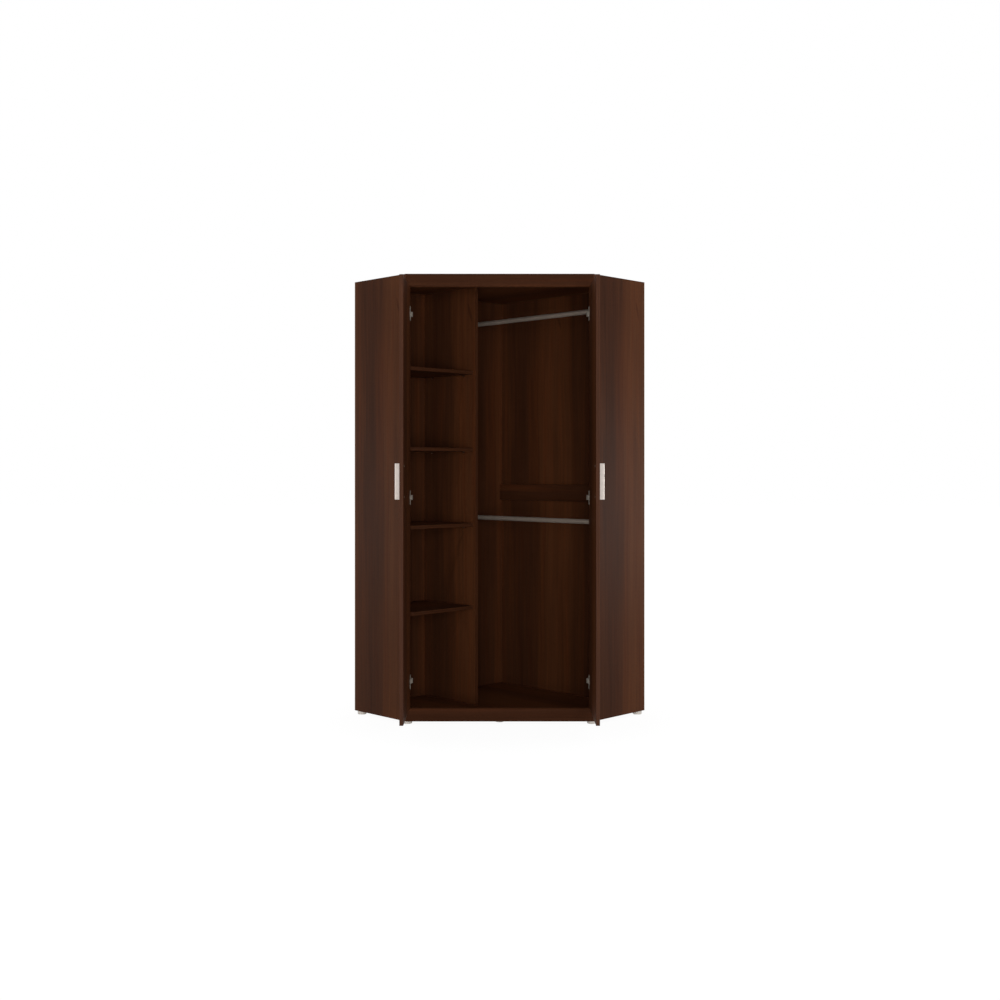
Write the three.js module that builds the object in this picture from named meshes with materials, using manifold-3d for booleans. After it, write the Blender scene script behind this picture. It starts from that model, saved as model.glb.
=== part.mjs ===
// Corner wardrobe with two doors that stand open at a right angle to the front.
// Millimetres, +Z up, the front faces -Y. The origin is on the floor, under the middle of the overall box.
// The plan is a square corner with its front cut off at 45 degrees. Most boards lie square to the two walls,
// so they are placed in a group that is turned to the walls and has its origin in the back corner.

import * as THREE from "three";
import { mergeVertices } from "three/addons/utils/BufferGeometryUtils.js";
import Module from "manifold-3d";

const wasm = await Module();
wasm.setup();

// Overall sizes and board stock
const wallLeg = 950; // length along each wall
const sideDepth = 362; // depth of the two side faces, square to the walls
const overallHeight = 2000; // floor to top, feet included
const board = 16; // laminated chipboard
const backSheet = 3; // hardboard backs
const seam = 0.3; // gap between faces that touch
const overrun = 5; // how far a cutting tool passes the face it cuts

// Front rails above and below the doors
const railHeight = 58;
const railDepth = 22;
const railEdgeRadius = 9; // rounded edge towards the door opening

// Inside
const bayWidth = 412; // clear width of the shelf bays, left side panel to divider
const shelfRecess = 16; // shelf front behind the divider front
const shelfHeightShares = [0.2326, 0.4309, 0.6109, 0.7956]; // middles, of the inner height
const crossRailHeight = 80;
const crossRailRise = 8; // its middle above the doors' middle

// Hanging rails and their end sockets
const railTubeRadius = 11;
const railTubeSetback = 102; // axis behind the front of the side face
const upperRailDrop = 133; // axis below the ceiling
const lowerRailDrop = 122; // axis below the middle of the cross rail
const socketFlangeRadius = 21;
const socketFlangeThickness = 3;
const socketCollarWall = 3;
const socketCollarLength = 14;

// Shelf pins
const pinRadius = 2.5;
const pinHeadRadius = 4;
const pinHeadLength = 9;
const pinPegLength = 8;
const pinInset = 60; // from the shelf's front and back edges

// Doors
const doorEndGap = 5; // above and below each door
const doorMeetingGap = 3; // between the two closed doors
const doorReveal = 2.3; // closed door's hinge edge to the front corner
const openingAngle = Math.PI / 2;

// Hinges: the virtual pivot of the concealed hinge, its cup and its arm
const pivotFromFace = 8.35; // behind the door's outer face
const pivotFromEdge = 9.15; // in from the door's hinge edge
const hingeFromEnd = 114; // outer hinges from the door's ends
const cupRadius = 17.5;
const cupDepth = 11;
const cupFromEdge = 21.5; // cup centre from the door's hinge edge
const flangeWidth = 24;
const flangeHeight = 62;
const flangeThickness = 2;
const knuckleRadius = 15.2; // about the pivot
const knuckleHeight = 18;
const knuckleFront = 6; // its reach from the pivot towards the free edge
const knuckleBack = 12; // its reach from the pivot past the hinge edge
const armHeight = 22;
const armThickness = 12;
const armLength = 56;
const armSeatDepth = 0.5; // hollow in the arm's nose that the knuckle turns in
const plateLength = 34;
const plateHeight = 48;
const plateThickness = 4;
const riserHeight = 18;
const armCornerRadius = 3;

// Handles: a channel that is open towards the hinge side
const handleLength = 150;
const handleProjection = 22;
const handleWidth = 20;
const handleWall = 2.6;
const handleFromEdge = 42; // from the door's free edge
const handleRise = 75.5; // its middle above the door's middle
const handleCornerRadius = 5;

// Feet
const footHeight = 16;
const footRadius = 20.5;
const footTreadRadius = 17;
const frontFootInset = 33; // from the side's outer face
const frontFootSetback = 26; // from the side's front corner, along the side
const rearFootInset = 22; // from the side's outer face
const rearFootSetback = 27; // from the wall face
const middleFootSetback = 80; // behind the front
const cornerFootSetback = 48; // from both walls

// Steps of the round shapes
const roundSteps = 32;
const smallRoundSteps = 16;
const knuckleSteps = 64;
const filletSteps = 6;

// What follows from the sizes above
const root2 = Math.SQRT2;
const frontHalf = (wallLeg - sideDepth) / root2;
const backCorner = (wallLeg + sideDepth) / root2; // behind the front plane
const caseBottom = footHeight;
const floorTop = caseBottom + board;
const ceiling = overallHeight - board;
const innerHeight = ceiling - floorTop;
const sideInner = wallLeg - board; // side panel's inner face, along the wall
const dividerFar = sideInner - bayWidth; // divider face towards the shelves
const dividerNear = dividerFar - board; // divider face towards the hanging space
const backFace = backSheet + seam;
const shelfFront = sideDepth - shelfRecess;
const doorWidth = frontHalf - doorReveal - doorMeetingGap / 2;
const doorBottom = caseBottom + railHeight + doorEndGap;
const doorTop = overallHeight - railHeight - doorEndGap;
const doorMiddle = (doorBottom + doorTop) / 2;
const pivotX = frontHalf - doorReveal - pivotFromEdge;
const freeEdge = pivotFromEdge - doorWidth; // closed, from the pivot
const doorInner = board - pivotFromFace; // closed, from the pivot
const openReach = -(pivotFromFace + freeEdge); // open door's free edge in front of the front plane
const sideCut = wallLeg + sideDepth - (railDepth + seam) * root2; // front edges lie on p + q = sideCut
const hingeHeights = [doorBottom + hingeFromEnd, doorMiddle, doorTop - hingeFromEnd];
const shelfHeights = shelfHeightShares.map((share) => floorTop + share * innerHeight);
const crossRailCentre = doorMiddle + crossRailRise;
const railTubeFromWall = sideDepth - railTubeSetback; // axis from the right wall
const railTubeHeights = { upper: ceiling - upperRailDrop, lower: crossRailCentre - lowerRailDrop };

// Materials
const finish = (color, roughness, metalness) =>
  new THREE.MeshStandardMaterial({ color, roughness, metalness });
const laminate = () => finish(0x4a2c20, 0.5, 0);
const laminateInside = () => finish(0x3c2118, 0.55, 0);
const hardboard = () => finish(0x3c2118, 0.7, 0);
const satinMetal = () => finish(0xd0c6be, 0.35, 0.9);
const hingeSteel = () => finish(0xa89c90, 0.3, 1);
const tubeSteel = () => finish(0x9a8f86, 0.3, 1);
const greyPlastic = () => finish(0xa39c94, 0.6, 0);

// A closed geometry as a solid that can be joined and cut
function solidOf(geometry) {
  const bare = geometry.index ? geometry.toNonIndexed() : geometry.clone();
  bare.deleteAttribute("normal");
  bare.deleteAttribute("uv");
  const merged = mergeVertices(bare);
  return new wasm.Manifold(
    new wasm.Mesh({
      numProp: 3,
      vertProperties: merged.attributes.position.array,
      triVerts: new Uint32Array(merged.index.array),
    }),
  );
}

// A solid as a geometry with flat faces
function geometryOf(solid) {
  const { numProp, numVert, vertProperties, triVerts } = solid.getMesh();
  const corners = new Float32Array(numVert * 3);
  for (let i = 0; i < numVert; i++) corners.set(vertProperties.subarray(i * numProp, i * numProp + 3), i * 3);
  const geometry = new THREE.BufferGeometry();
  geometry.setAttribute("position", new THREE.BufferAttribute(corners, 3));
  geometry.setIndex(new THREE.BufferAttribute(triVerts, 1));
  const faceted = geometry.toNonIndexed();
  faceted.computeVertexNormals();
  return faceted;
}

function named(name, geometry, material) {
  const mesh = new THREE.Mesh(geometry, material);
  mesh.name = name;
  return mesh;
}

// A box between two corners
function block([x0, x1], [y0, y1], [z0, z1]) {
  const box = new THREE.BoxGeometry(Math.abs(x1 - x0), Math.abs(y1 - y0), z1 - z0);
  return box.translate((x0 + x1) / 2, (y0 + y1) / 2, (z0 + z1) / 2);
}

// A plan outline raised from z0 to z1
function prism(points, z0, z1) {
  const shape = new THREE.Shape(points.map(([x, y]) => new THREE.Vector2(x, y)));
  const solid = new THREE.ExtrudeGeometry(shape, { depth: z1 - z0, bevelEnabled: false });
  return solid.translate(0, 0, z0);
}

// A closed outline whose corners are [x, y, rounding]
function roundedShape(points) {
  const path = new THREE.Shape();
  const count = points.length;
  points.forEach(([x, y, radius], i) => {
    const corner = new THREE.Vector2(x, y);
    const before = new THREE.Vector2(...points[(i + count - 1) % count]).sub(corner).normalize();
    const after = new THREE.Vector2(...points[(i + 1) % count]).sub(corner).normalize();
    const start = corner.clone().addScaledVector(before, radius);
    const end = corner.clone().addScaledVector(after, radius);
    if (i === 0) path.moveTo(start.x, start.y);
    else path.lineTo(start.x, start.y);
    if (radius > 0) path.quadraticCurveTo(x, y, end.x, end.y);
  });
  path.closePath();
  return path;
}

// Corner frame: x runs along the right wall and -y along the left wall, both from the back corner.
const cornerFrame = new THREE.Group();
cornerFrame.position.set(0, backCorner, 0);
cornerFrame.rotation.z = -Math.PI / 4;

const cornerBlock = (alongRight, alongLeft, heights) =>
  block(alongRight, alongLeft.map((v) => -v), heights);
const cornerPrism = (points, z0, z1) => prism(points.map(([p, q]) => [p, -q]), z0, z1);

// Pins: two on each side of the bay, near the front and the back of the shelf
const pinPlaces = [backFace + pinInset, shelfFront - pinInset];
const pinHeight = (shelfHeight) => shelfHeight - board / 2 - seam - pinHeadRadius;

// The holes run into the board from its face, up (1) or down (-1) the left wall.
function pinHoles(faceAlongLeft, into) {
  const holes = [];
  for (const shelfHeight of shelfHeights) {
    for (const p of pinPlaces) {
      const radius = pinRadius + seam;
      const depth = pinPegLength + seam;
      const hole = new THREE.CylinderGeometry(radius, radius, depth + overrun, smallRoundSteps);
      const middle = faceAlongLeft + (into * (depth - overrun)) / 2;
      hole.translate(p, -middle, pinHeight(shelfHeight));
      holes.push(solidOf(hole));
    }
  }
  return holes;
}

function cut(geometry, tools) {
  return geometryOf(tools.reduce((body, tool) => body.subtract(tool), solidOf(geometry)));
}

function makeCase() {
  const frontAt = (across) => sideCut - across;
  const heights = [caseBottom, overallHeight];

  const rightSide = [
    [sideInner, backFace],
    [wallLeg, backFace],
    [wallLeg, frontAt(wallLeg)],
    [sideInner, frontAt(sideInner)],
  ];
  cornerFrame.add(named("right_side_panel", cornerPrism(rightSide, ...heights), laminate()));

  const leftSide = rightSide.map(([p, q]) => [q, p]);
  const leftPanel = cut(cornerPrism(leftSide, ...heights), pinHoles(sideInner, 1));
  cornerFrame.add(named("left_side_panel", leftPanel, laminate()));

  const deckEnd = sideInner - seam;
  const deck = [
    [backFace, backFace],
    [deckEnd, backFace],
    [deckEnd, frontAt(deckEnd)],
    [frontAt(deckEnd), deckEnd],
    [backFace, deckEnd],
  ];
  cornerFrame.add(named("bottom_panel", cornerPrism(deck, caseBottom, floorTop), laminateInside()));
  cornerFrame.add(named("top_panel", cornerPrism(deck, ceiling, overallHeight), laminateInside()));

  cornerFrame.add(
    named("left_back_panel", cornerBlock([0, backSheet], [0, wallLeg], heights), hardboard()),
    named(
      "right_back_panel_lower",
      cornerBlock([backFace, wallLeg], [0, backSheet], [caseBottom, crossRailCentre - seam / 2]),
      hardboard(),
    ),
    named(
      "right_back_panel_upper",
      cornerBlock([backFace, wallLeg], [0, backSheet], [crossRailCentre + seam / 2, overallHeight]),
      hardboard(),
    ),
    named(
      "back_cross_rail",
      cornerBlock(
        [backFace + board + seam, sideInner - seam],
        [backFace, backFace + board],
        [crossRailCentre - crossRailHeight / 2, crossRailCentre + crossRailHeight / 2],
      ),
      laminateInside(),
    ),
  );
}

function makeInside() {
  const heights = [floorTop + seam, ceiling - seam];
  const divider = cornerBlock([backFace, sideDepth], [dividerNear, dividerFar], heights);
  cornerFrame.add(named("divider", cut(divider, pinHoles(dividerFar, -1)), laminateInside()));

  shelfHeights.forEach((height, i) => {
    const shelf = cornerBlock(
      [backFace, shelfFront],
      [dividerFar + seam, sideInner - seam],
      [height - board / 2, height + board / 2],
    );
    cornerFrame.add(named(`shelf_${i + 1}`, shelf, laminateInside()));
    addPins(`shelf_${i + 1}`, pinHeight(height));
  });

  // Full board on the left wall, from the corner to the divider: it carries the hanging rails
  const railBoard = cornerBlock([backFace, backFace + board], [backFace, dividerNear - seam], heights);
  cornerFrame.add(named("rail_support_board", railBoard, laminateInside()));
}

// A pin's peg runs into the board and its head carries the shelf; the profile turns about the peg's axis.
function addPins(shelfName, height) {
  const profile = [
    [0, -pinPegLength],
    [pinRadius, -pinPegLength],
    [pinRadius, seam],
    [pinHeadRadius, seam],
    [pinHeadRadius, pinHeadLength],
    [0, pinHeadLength],
  ].map(([r, y]) => new THREE.Vector2(r, y));
  const sides = [
    { label: "divider", face: dividerFar, turn: Math.PI },
    { label: "side", face: sideInner, turn: 0 },
  ];
  const ends = ["back", "front"];
  for (const { label, face, turn } of sides) {
    pinPlaces.forEach((p, i) => {
      const pin = new THREE.LatheGeometry(profile, smallRoundSteps);
      const mesh = named(`${shelfName}_pin_${label}_${ends[i]}`, pin, hingeSteel());
      mesh.position.set(p, -face, height);
      mesh.rotation.z = turn;
      cornerFrame.add(mesh);
    });
  }
}

function makeHangingRails() {
  const leftFace = backFace + board + seam;
  const rightFace = sideInner - seam;
  const collarRadius = railTubeRadius + seam + socketCollarWall;
  const socketProfile = [
    [0, 0],
    [socketFlangeRadius, 0],
    [socketFlangeRadius, socketFlangeThickness],
    [collarRadius, socketFlangeThickness],
    [collarRadius, socketCollarLength],
    [railTubeRadius + seam, socketCollarLength],
    [railTubeRadius + seam, socketFlangeThickness],
    [0, socketFlangeThickness],
  ].map(([r, y]) => new THREE.Vector2(r, y));

  for (const [level, height] of Object.entries(railTubeHeights)) {
    const start = leftFace + socketFlangeThickness + seam;
    const end = rightFace - socketFlangeThickness - seam;
    const tube = new THREE.CylinderGeometry(railTubeRadius, railTubeRadius, end - start, roundSteps);
    const tubeMesh = named(`${level}_hanging_rail`, tube, tubeSteel());
    tubeMesh.rotation.z = Math.PI / 2;
    tubeMesh.position.set((start + end) / 2, -railTubeFromWall, height);
    cornerFrame.add(tubeMesh);

    const ends = [
      { label: "left", face: leftFace, turn: -Math.PI / 2 },
      { label: "right", face: rightFace, turn: Math.PI / 2 },
    ];
    for (const { label, face, turn } of ends) {
      const socket = new THREE.LatheGeometry(socketProfile, roundSteps);
      const mesh = named(`${level}_rail_socket_${label}`, socket, hingeSteel());
      mesh.rotation.z = turn;
      mesh.position.set(face, -railTubeFromWall, height);
      cornerFrame.add(mesh);
    }
  }
}

// Hinge arms stand on the side panels' inner faces. Sizes run inwards from that face and along the panel.
function makeHingeArms() {
  const nose = (backCorner - pivotFromFace - pivotX) / root2;
  const pivotIn = sideInner - (backCorner - pivotFromFace + pivotX) / root2;
  const seatRadius = knuckleRadius + seam;
  const armIn = pivotIn + seatRadius - armSeatDepth;
  const armOut = armIn + armThickness;
  const arm = roundedShape([
    [armIn, nose, 0],
    [armOut, nose, armCornerRadius],
    [armOut, nose - armLength, armCornerRadius],
    [armIn, nose - armLength, 0],
  ]);
  const options = { depth: armHeight, bevelEnabled: false, curveSegments: filletSteps };
  const armSolid = solidOf(new THREE.ExtrudeGeometry(arm, options).translate(0, 0, -armHeight / 2));
  const plateSpan = [nose - armLength, nose - armLength + plateLength];
  const evenly = (tall) => [-tall / 2, tall / 2];
  const plate = block([seam, plateThickness], plateSpan, evenly(plateHeight));
  const riser = block([plateThickness / 2, (armIn + armOut) / 2], plateSpan, evenly(riserHeight));
  const seat = new THREE.CylinderGeometry(seatRadius, seatRadius, armHeight + overrun, knuckleSteps);
  seat.rotateX(Math.PI / 2).translate(pivotIn, nose, 0);
  const joined = armSolid.add(solidOf(plate)).add(solidOf(riser)).subtract(solidOf(seat));

  const places = [
    { side: "left", basis: [new THREE.Vector3(0, 1, 0), new THREE.Vector3(1, 0, 0)], at: [0, -sideInner] },
    { side: "right", basis: [new THREE.Vector3(-1, 0, 0), new THREE.Vector3(0, -1, 0)], at: [sideInner, 0] },
  ];
  for (const { side, basis, at } of places) {
    const turn = new THREE.Matrix4().makeBasis(...basis, new THREE.Vector3(0, 0, 1));
    hingeHeights.forEach((height, i) => {
      const mesh = named(`${side}_hinge_arm_${i + 1}`, geometryOf(joined), hingeSteel());
      mesh.applyMatrix4(turn);
      mesh.position.set(...at, height);
      cornerFrame.add(mesh);
    });
  }
}

function makeFeet() {
  const top = footHeight - seam;
  const edge = footRadius - footTreadRadius;
  const profile = [new THREE.Vector2(0, 0), new THREE.Vector2(footTreadRadius, 0)];
  for (let i = 1; i <= filletSteps; i++) {
    const angle = (Math.PI / 2) * (i / filletSteps);
    profile.push(new THREE.Vector2(footTreadRadius + edge * Math.sin(angle), edge * (1 - Math.cos(angle))));
  }
  profile.push(new THREE.Vector2(footRadius, top), new THREE.Vector2(0, top));

  const frontFoot = sideDepth - frontFootSetback;
  const middle = (backCorner - middleFootSetback) / root2;
  const places = {
    front_left: [frontFoot, wallLeg - frontFootInset],
    front_right: [wallLeg - frontFootInset, frontFoot],
    rear_left: [rearFootSetback, wallLeg - rearFootInset],
    rear_right: [wallLeg - rearFootInset, rearFootSetback],
    front_middle: [middle, middle],
    back_corner: [cornerFootSetback, cornerFootSetback],
  };
  for (const [place, [p, q]] of Object.entries(places)) {
    const shape = new THREE.LatheGeometry(profile, roundSteps);
    shape.rotateX(Math.PI / 2);
    const mesh = named(`foot_${place}`, shape, greyPlastic());
    mesh.position.set(p, -q, 0);
    cornerFrame.add(mesh);
  }
}

// A front rail: its section runs across the front, and its ends are cut flush with the side faces.
function makeRail(name, z0, roundedAtTop) {
  const z1 = z0 + railHeight;
  const outline = [
    [0, z0, roundedAtTop ? 0 : railEdgeRadius],
    [railDepth, z0, 0],
    [railDepth, z1, 0],
    [0, z1, roundedAtTop ? railEdgeRadius : 0],
  ];
  const halfLength = frontHalf + railDepth + overrun;
  const options = { depth: 2 * halfLength, bevelEnabled: false, curveSegments: filletSteps };
  const bar = new THREE.ExtrudeGeometry(roundedShape(outline), options).translate(0, 0, -halfLength);
  const section = new THREE.Matrix4().makeBasis(
    new THREE.Vector3(0, 1, 0),
    new THREE.Vector3(0, 0, 1),
    new THREE.Vector3(1, 0, 0),
  );
  bar.applyMatrix4(section);
  const backHalf = frontHalf + railDepth + overrun;
  const plan = prism(
    [
      [-frontHalf + overrun, -overrun],
      [frontHalf - overrun, -overrun],
      [backHalf, railDepth + overrun],
      [-backHalf, railDepth + overrun],
    ],
    z0 - overrun,
    z1 + overrun,
  );
  return named(name, geometryOf(solidOf(bar).intersect(solidOf(plan))), laminate());
}

// One door, drawn closed about its pivot: x towards the hinge edge and y into the wardrobe on the right hand.
function makeDoor(side, hand) {
  const door = new THREE.Group();
  door.position.set(hand * pivotX, pivotFromFace, 0);
  door.rotation.z = hand * openingAngle;
  const across = (a, b) => [hand * a, hand * b].sort((u, v) => u - v);

  const panel = block(across(freeEdge, pivotFromEdge), [-pivotFromFace, doorInner], [doorBottom, doorTop]);
  const cupX = hand * (pivotFromEdge - cupFromEdge);
  const bores = hingeHeights.map((height) => {
    const depth = cupDepth + seam;
    const bore = new THREE.CylinderGeometry(cupRadius + seam, cupRadius + seam, depth + overrun, roundSteps);
    return solidOf(bore.translate(cupX, doorInner - (depth - overrun) / 2, height));
  });
  door.add(named(`${side}_door`, cut(panel, bores), laminate()));

  hingeHeights.forEach((height, i) => {
    door.add(named(`${side}_hinge_cup_${i + 1}`, hingeCup(cupX, height, across), hingeSteel()));
  });
  door.add(named(`${side}_handle`, handleShape(hand), satinMetal()));
  return door;
}

function hingeCup(cupX, height, across) {
  const flangeFrom = doorInner + seam;
  const flangeTo = flangeFrom + flangeThickness;
  const spanX = [cupX - flangeWidth / 2, cupX + flangeWidth / 2];
  const spanZ = (tall) => [height - tall / 2, height + tall / 2];
  const cup = new THREE.CylinderGeometry(cupRadius, cupRadius, flangeTo - doorInner + cupDepth, roundSteps);
  cup.translate(cupX, (flangeTo + doorInner - cupDepth) / 2, height);
  const flange = block(spanX, [flangeFrom, flangeTo], spanZ(flangeHeight));
  const knuckleBlock = block(
    across(-knuckleFront, knuckleBack),
    [flangeTo - flangeThickness / 2, knuckleRadius],
    spanZ(knuckleHeight),
  );
  const tall = knuckleHeight + overrun;
  const round = new THREE.CylinderGeometry(knuckleRadius, knuckleRadius, tall, knuckleSteps);
  round.rotateX(Math.PI / 2).translate(0, 0, height);
  const knuckle = solidOf(knuckleBlock).intersect(solidOf(round));
  return geometryOf(solidOf(cup).add(solidOf(flange)).add(knuckle));
}

function handleShape(hand) {
  const outer = freeEdge + handleFromEdge;
  const open = outer + handleWidth;
  const seat = -pivotFromFace - seam;
  const face = seat - handleProjection;
  const outline = [
    [outer, seat, 0],
    [open, seat, 0],
    [open, seat - handleWall, 0],
    [outer + handleWall, seat - handleWall, handleWall],
    [outer + handleWall, face + handleWall, handleWall],
    [open, face + handleWall, 0],
    [open, face, 0],
    [outer, face, handleCornerRadius],
  ].map(([x, y, radius]) => [hand * x, y, radius]);
  const options = { depth: handleLength, bevelEnabled: false, curveSegments: filletSteps };
  const channel = new THREE.ExtrudeGeometry(roundedShape(outline), options);
  return channel.translate(0, 0, doorMiddle + handleRise - handleLength / 2);
}

makeCase();
makeInside();
makeHangingRails();
makeHingeArms();
makeFeet();

const wardrobe = new THREE.Group();
wardrobe.position.y = -(backCorner - openReach) / 2;
wardrobe.add(
  cornerFrame,
  makeRail("top_rail", overallHeight - railHeight, false),
  makeRail("bottom_rail", caseBottom, true),
  makeDoor("left", -1),
  makeDoor("right", 1),
);

export default new THREE.Group().add(wardrobe);
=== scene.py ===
# %% [markdown]
# # A corner wardrobe with its doors open
# This lesson dresses a finished case of boards, doors, hinges and rails. The case is loaded first and
# stays fixed. Every piece here is made in its frame, in metres, with the front towards -Y and Z up.

import math

import bmesh
import bpy
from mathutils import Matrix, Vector


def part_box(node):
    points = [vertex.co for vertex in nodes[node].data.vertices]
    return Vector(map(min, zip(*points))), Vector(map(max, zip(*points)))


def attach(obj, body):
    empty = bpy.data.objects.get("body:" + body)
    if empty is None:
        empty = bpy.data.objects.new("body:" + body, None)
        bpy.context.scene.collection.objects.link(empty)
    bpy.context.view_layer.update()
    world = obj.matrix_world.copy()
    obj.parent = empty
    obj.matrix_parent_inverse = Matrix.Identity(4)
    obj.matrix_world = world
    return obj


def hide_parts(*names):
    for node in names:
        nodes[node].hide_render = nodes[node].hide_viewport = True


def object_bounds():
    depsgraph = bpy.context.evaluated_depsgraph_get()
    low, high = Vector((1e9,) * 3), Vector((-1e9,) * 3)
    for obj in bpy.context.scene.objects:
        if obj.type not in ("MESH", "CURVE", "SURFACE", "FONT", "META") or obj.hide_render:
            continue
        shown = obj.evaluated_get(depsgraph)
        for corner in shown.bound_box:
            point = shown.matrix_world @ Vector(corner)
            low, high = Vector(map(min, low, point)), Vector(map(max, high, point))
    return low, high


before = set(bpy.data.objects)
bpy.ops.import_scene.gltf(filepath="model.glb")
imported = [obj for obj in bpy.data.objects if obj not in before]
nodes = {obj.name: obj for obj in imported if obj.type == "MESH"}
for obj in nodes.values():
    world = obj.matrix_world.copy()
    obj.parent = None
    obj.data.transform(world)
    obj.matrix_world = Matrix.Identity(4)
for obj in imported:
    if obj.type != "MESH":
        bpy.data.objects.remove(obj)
case_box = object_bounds()

# %% [markdown]
# ## Camera
# The photograph is level and straight on, so its verticals stay vertical. The camera stands in front of
# the middle at a little over a metre. Tilting it would bend the verticals, so a small vertical shift
# brings the horizon to its place in the picture instead, as an architect's lens does.

# %% Camera
PICTURE_PX = 1000.0
FOCAL_PX = 1240.0
HORIZON_PX = 467.0
CENTRE_PX = 499.65
SENSOR_MM = 36.0
CAMERA_HEIGHT = 1.1437
CAMERA_DISTANCE = 5.494
FRONT_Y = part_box("top_rail")[0].y
QUARTER_TURN = math.radians(90)


def put_in_scene(name, data):
    """A new object that shows this mesh, lamp or camera."""
    made = bpy.data.objects.new(name, data)
    bpy.context.scene.collection.objects.link(made)
    return made


camera_data = bpy.data.cameras.new("photo_camera")
camera_data.sensor_width = SENSOR_MM
camera_data.lens = FOCAL_PX / PICTURE_PX * SENSOR_MM
camera_data.shift_x = (PICTURE_PX / 2 - CENTRE_PX) / PICTURE_PX
camera_data.shift_y = (HORIZON_PX - PICTURE_PX / 2) / PICTURE_PX
camera = put_in_scene("photo_camera", camera_data)
camera.location = (0, FRONT_Y - CAMERA_DISTANCE, CAMERA_HEIGHT)
camera.rotation_euler = (QUARTER_TURN, 0, 0)
bpy.context.scene.camera = camera
bpy.context.scene.view_settings.view_transform = "Standard"
print("lens", round(camera_data.lens, 2), "mm, shift", round(camera_data.shift_y, 4))

# %% [markdown]
# ## Shader maths
# A node tree is easier to read as a formula. One small class wraps a socket and overloads the operators
# that are used, so that `1 - mask * 0.5` adds its Math nodes by itself. Every other node comes from one
# method that takes the node's type, its settings and what goes into its inputs.

# %% A value in a node tree
class Socket:
    """One value in a node tree. Operators add Math nodes; make() adds any other node."""

    def __init__(self, tree, value):
        self.tree = tree
        self.value = value

    def node(self, kind, settings=None, **inputs):
        made = self.tree.nodes.new(kind)
        for name, setting in (settings or {}).items():
            if name == "stops":
                fill_ramp(made.color_ramp, setting)
            else:
                setattr(made, name, setting)
        feed(made, **inputs)
        return made

    def make(self, kind, out=0, settings=None, **inputs):
        return Socket(self.tree, self.node(kind, settings, **inputs).outputs[out])

    def math(self, operation, *others):
        operands = {f"i{i}": v for i, v in enumerate((self, *others))}
        return self.make("ShaderNodeMath", settings={"operation": operation}, **operands)

    def __add__(self, other):
        return self.math("ADD", other)

    def __sub__(self, other):
        return self.math("SUBTRACT", other)

    def __mul__(self, other):
        return self.math("MULTIPLY", other)

    def __truediv__(self, other):
        return self.math("DIVIDE", other)

    __radd__ = __add__
    __rmul__ = __mul__

    def __rsub__(self, other):
        return self.make("ShaderNodeMath", settings={"operation": "SUBTRACT"}, i0=other, i1=self)

    def clamped(self):
        return self.make("ShaderNodeClamp", i0=self)

    def band(self, low, high):
        """0 below low, 1 above high, smooth between."""
        settings = {"interpolation_type": "SMOOTHSTEP"}
        return self.make("ShaderNodeMapRange", settings=settings, i0=self, i1=low, i2=high)


print("shader maths ready: a Socket takes +, -, * and /")


# %% What goes into a node
def feed(node, **inputs):
    """Links or sets a node's inputs: each goes by its label, with _ for a space, or by its number as i0."""
    for name, given in inputs.items():
        target = node.inputs[int(name[1:]) if name[1:].isdigit() else name.replace("_", " ")]
        for source in given if isinstance(given, list) else [given]:
            if isinstance(source, Socket):
                source.tree.links.new(source.value, target)
            else:
                target.default_value = source


def fill_ramp(ramp, stops):
    while len(ramp.elements) > 1:
        ramp.elements.remove(ramp.elements[-1])
    ramp.elements[0].position, ramp.elements[0].color = stops[0][0], (*stops[0][1], 1)
    for place, colour in stops[1:]:
        ramp.elements.new(place).color = (*colour, 1)


print("a node's inputs are fed by label or by number")

# %% [markdown]
# A material is written in three steps: empty its node tree, work out what changes over the surface, and
# feed that to one Principled shader. These helpers take up the first step and the mixing of colours.

# %% Material and colour helpers
def linear(r, g, b):
    """A colour as a screen shows it, 0 to 255, as the linear value that a shader needs."""
    def one(v):
        v /= 255
        return v / 12.92 if v <= 0.04045 else ((v + 0.055) / 1.055) ** 2.4
    return (one(r), one(g), one(b))


def darker(colour, share):
    """The colour with this share of its light left."""
    return tuple(channel * share for channel in colour)


def empty_tree(owner):
    """Empties the node tree of a material or a world and returns a socket to start from."""
    owner.use_nodes = True
    owner.node_tree.nodes.clear()
    return Socket(owner.node_tree, None)


def new_material(name):
    """A material with an empty Principled shader: the material, its shader and a socket to start from."""
    material = bpy.data.materials.new(name)
    start = empty_tree(material)
    shader = start.node("ShaderNodeBsdfPrincipled")
    start.node("ShaderNodeOutputMaterial", Surface=Socket(start.tree, shader.outputs[0]))
    return material, shader, start


def mix(start, a, b, factor, blend="MIX"):
    """Colour a to colour b by a factor. A Mix node has its colours at inputs 6 and 7 and at output 2."""
    a, b = (given if isinstance(given, Socket) else (*given, 1) for given in (a, b))
    settings = {"data_type": "RGBA", "blend_type": blend}
    return start.make("ShaderNodeMix", out=2, settings=settings, i0=factor, i6=a, i7=b)


def bump(start, strength, depth, height):
    return start.make("ShaderNodeBump", Strength=strength, Distance=depth, Height=height)


print("mid grey 128 as a linear value:", round(linear(128, 128, 128)[0], 3))

# %% [markdown]
# ## Wood-grain laminate
# The boards are chipboard under a printed walnut foil. Seen from a few metres the print is broad soft
# bands, red-brown and grey-brown, that run the length of the board. Closer, there are fine streaks and
# short pores. An image of wood could be wrapped round each board, but noise needs no file and stays
# sharp from close by. Each board carries a UV map in metres, u across the grain and v along it, so the
# print follows the board at its real scale, whichever way the board is turned. The broad bands are a
# colour ramp that repeats across the board, and the streaks are noise that is stretched along v.

# %% What is printed
BOARD_MAP = "board"
REPEAT = 0.362

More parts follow.
